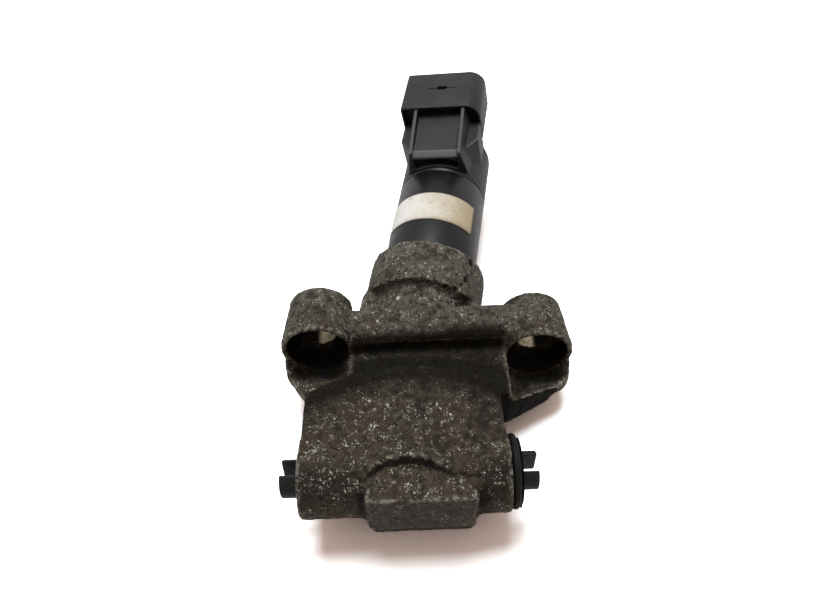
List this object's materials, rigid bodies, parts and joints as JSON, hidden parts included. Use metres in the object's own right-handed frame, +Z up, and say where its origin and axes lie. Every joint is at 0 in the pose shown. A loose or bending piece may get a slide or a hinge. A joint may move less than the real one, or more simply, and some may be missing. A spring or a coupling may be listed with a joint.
{
  "type": "electric drum parking brake expander",
  "caption": "Cast expander with a cylindrical motor, a plug connector and bolt ears; a worm drive pushes forked tappets out of both ends of its head.",
  "frame": {"origin": "middle of the overall box's footprint, on the flat underside of the casting", "axes": "+Y along the bolt holes, from the tappet head towards the motor; +X along the tappets, to the right seen from the head; +Z up"},
  "size_m": [0.1012, 0.1864, 0.0625],
  "materials": {
    "casting": "weathered bare casting",
    "steel": "machined",
    "tappet_steel": "blackened",
    "core_steel": "stamped laminations",
    "spring_steel": "dark",
    "bronze": "sintered",
    "copper": "bare copper",
    "can_paint": "satin",
    "cap_plastic": "moulded",
    "gear_plastic": "moulded",
    "rubber": "matte",
    "ferrite": "matte",
    "carbon": "matte",
    "terminal_tin": "tinned",
    "label_paper": "matte"
  },
  "bodies": {
    "frame": {"housing": "casting", "left_guide_bush": "steel", "right_guide_bush": "steel", "left_circlip": "steel", "right_circlip": "steel", "left_boot": "rubber", "right_boot": "rubber", "left_nut_bearing": "bronze", "right_nut_bearing": "bronze", "left_thrust_washer": "bronze", "right_thrust_washer": "bronze", "right_spacer": "steel", "worm_end_bush": "bronze", "worm_bearing": "steel", "motor_can": "can_paint", "can_seal": "rubber", "front_bearing": "steel", "left_magnet": "ferrite", "right_magnet": "ferrite", "brush_card": "cap_plastic", "left_brush": "carbon", "right_brush": "carbon", "left_brush_spring": "spring_steel", "right_brush_spring": "spring_steel", "rear_bush": "bronze", "end_cap": "cap_plastic", "terminal_1": "terminal_tin", "terminal_2": "terminal_tin", "label": "label_paper"},
    "rotor": {"rotor_shaft": "steel", "worm_shaft": "steel", "worm": "steel", "drive_coupling": "steel", "armature_core": "core_steel", "front_winding": "copper", "rear_winding": "copper", "commutator": "copper"},
    "nut": {"spindle_nut": "steel", "worm_wheel": "gear_plastic"},
    "left_tappet": {"left_tappet": "tappet_steel"},
    "right_tappet": {"right_tappet": "tappet_steel"}
  },
  "joints": [
    {"name": "rotor_spin", "type": "hinge", "parent": "frame", "child": "rotor", "pos_m": [-0.0143, -0.07768, 0.01331], "axis": [0.1839, 0.9773, 0.1056], "range_deg": [0, 4320]},
    {"name": "nut_spin", "type": "hinge", "parent": "frame", "child": "nut", "pos_m": [-0.0143, -0.07916, 0.027], "axis": [1, 0, 0], "range_deg": [-480.5, 0]},
    {"name": "left_tappet_slide", "type": "slide", "parent": "frame", "child": "left_tappet", "axis": [-1, 0, 0], "range_m": [0, 0.004]},
    {"name": "right_tappet_slide", "type": "slide", "parent": "frame", "child": "right_tappet", "axis": [1, 0, 0], "range_m": [0, 0.004]}
  ],
  "couplings": [
    {"joint": "nut_spin", "follows": "rotor_spin", "ratio": -0.11111},
    {"joint": "left_tappet_slide", "follows": "rotor_spin", "m_per_rad": 0.00005305},
    {"joint": "right_tappet_slide", "follows": "rotor_spin", "m_per_rad": 0.00005305}
  ]
}
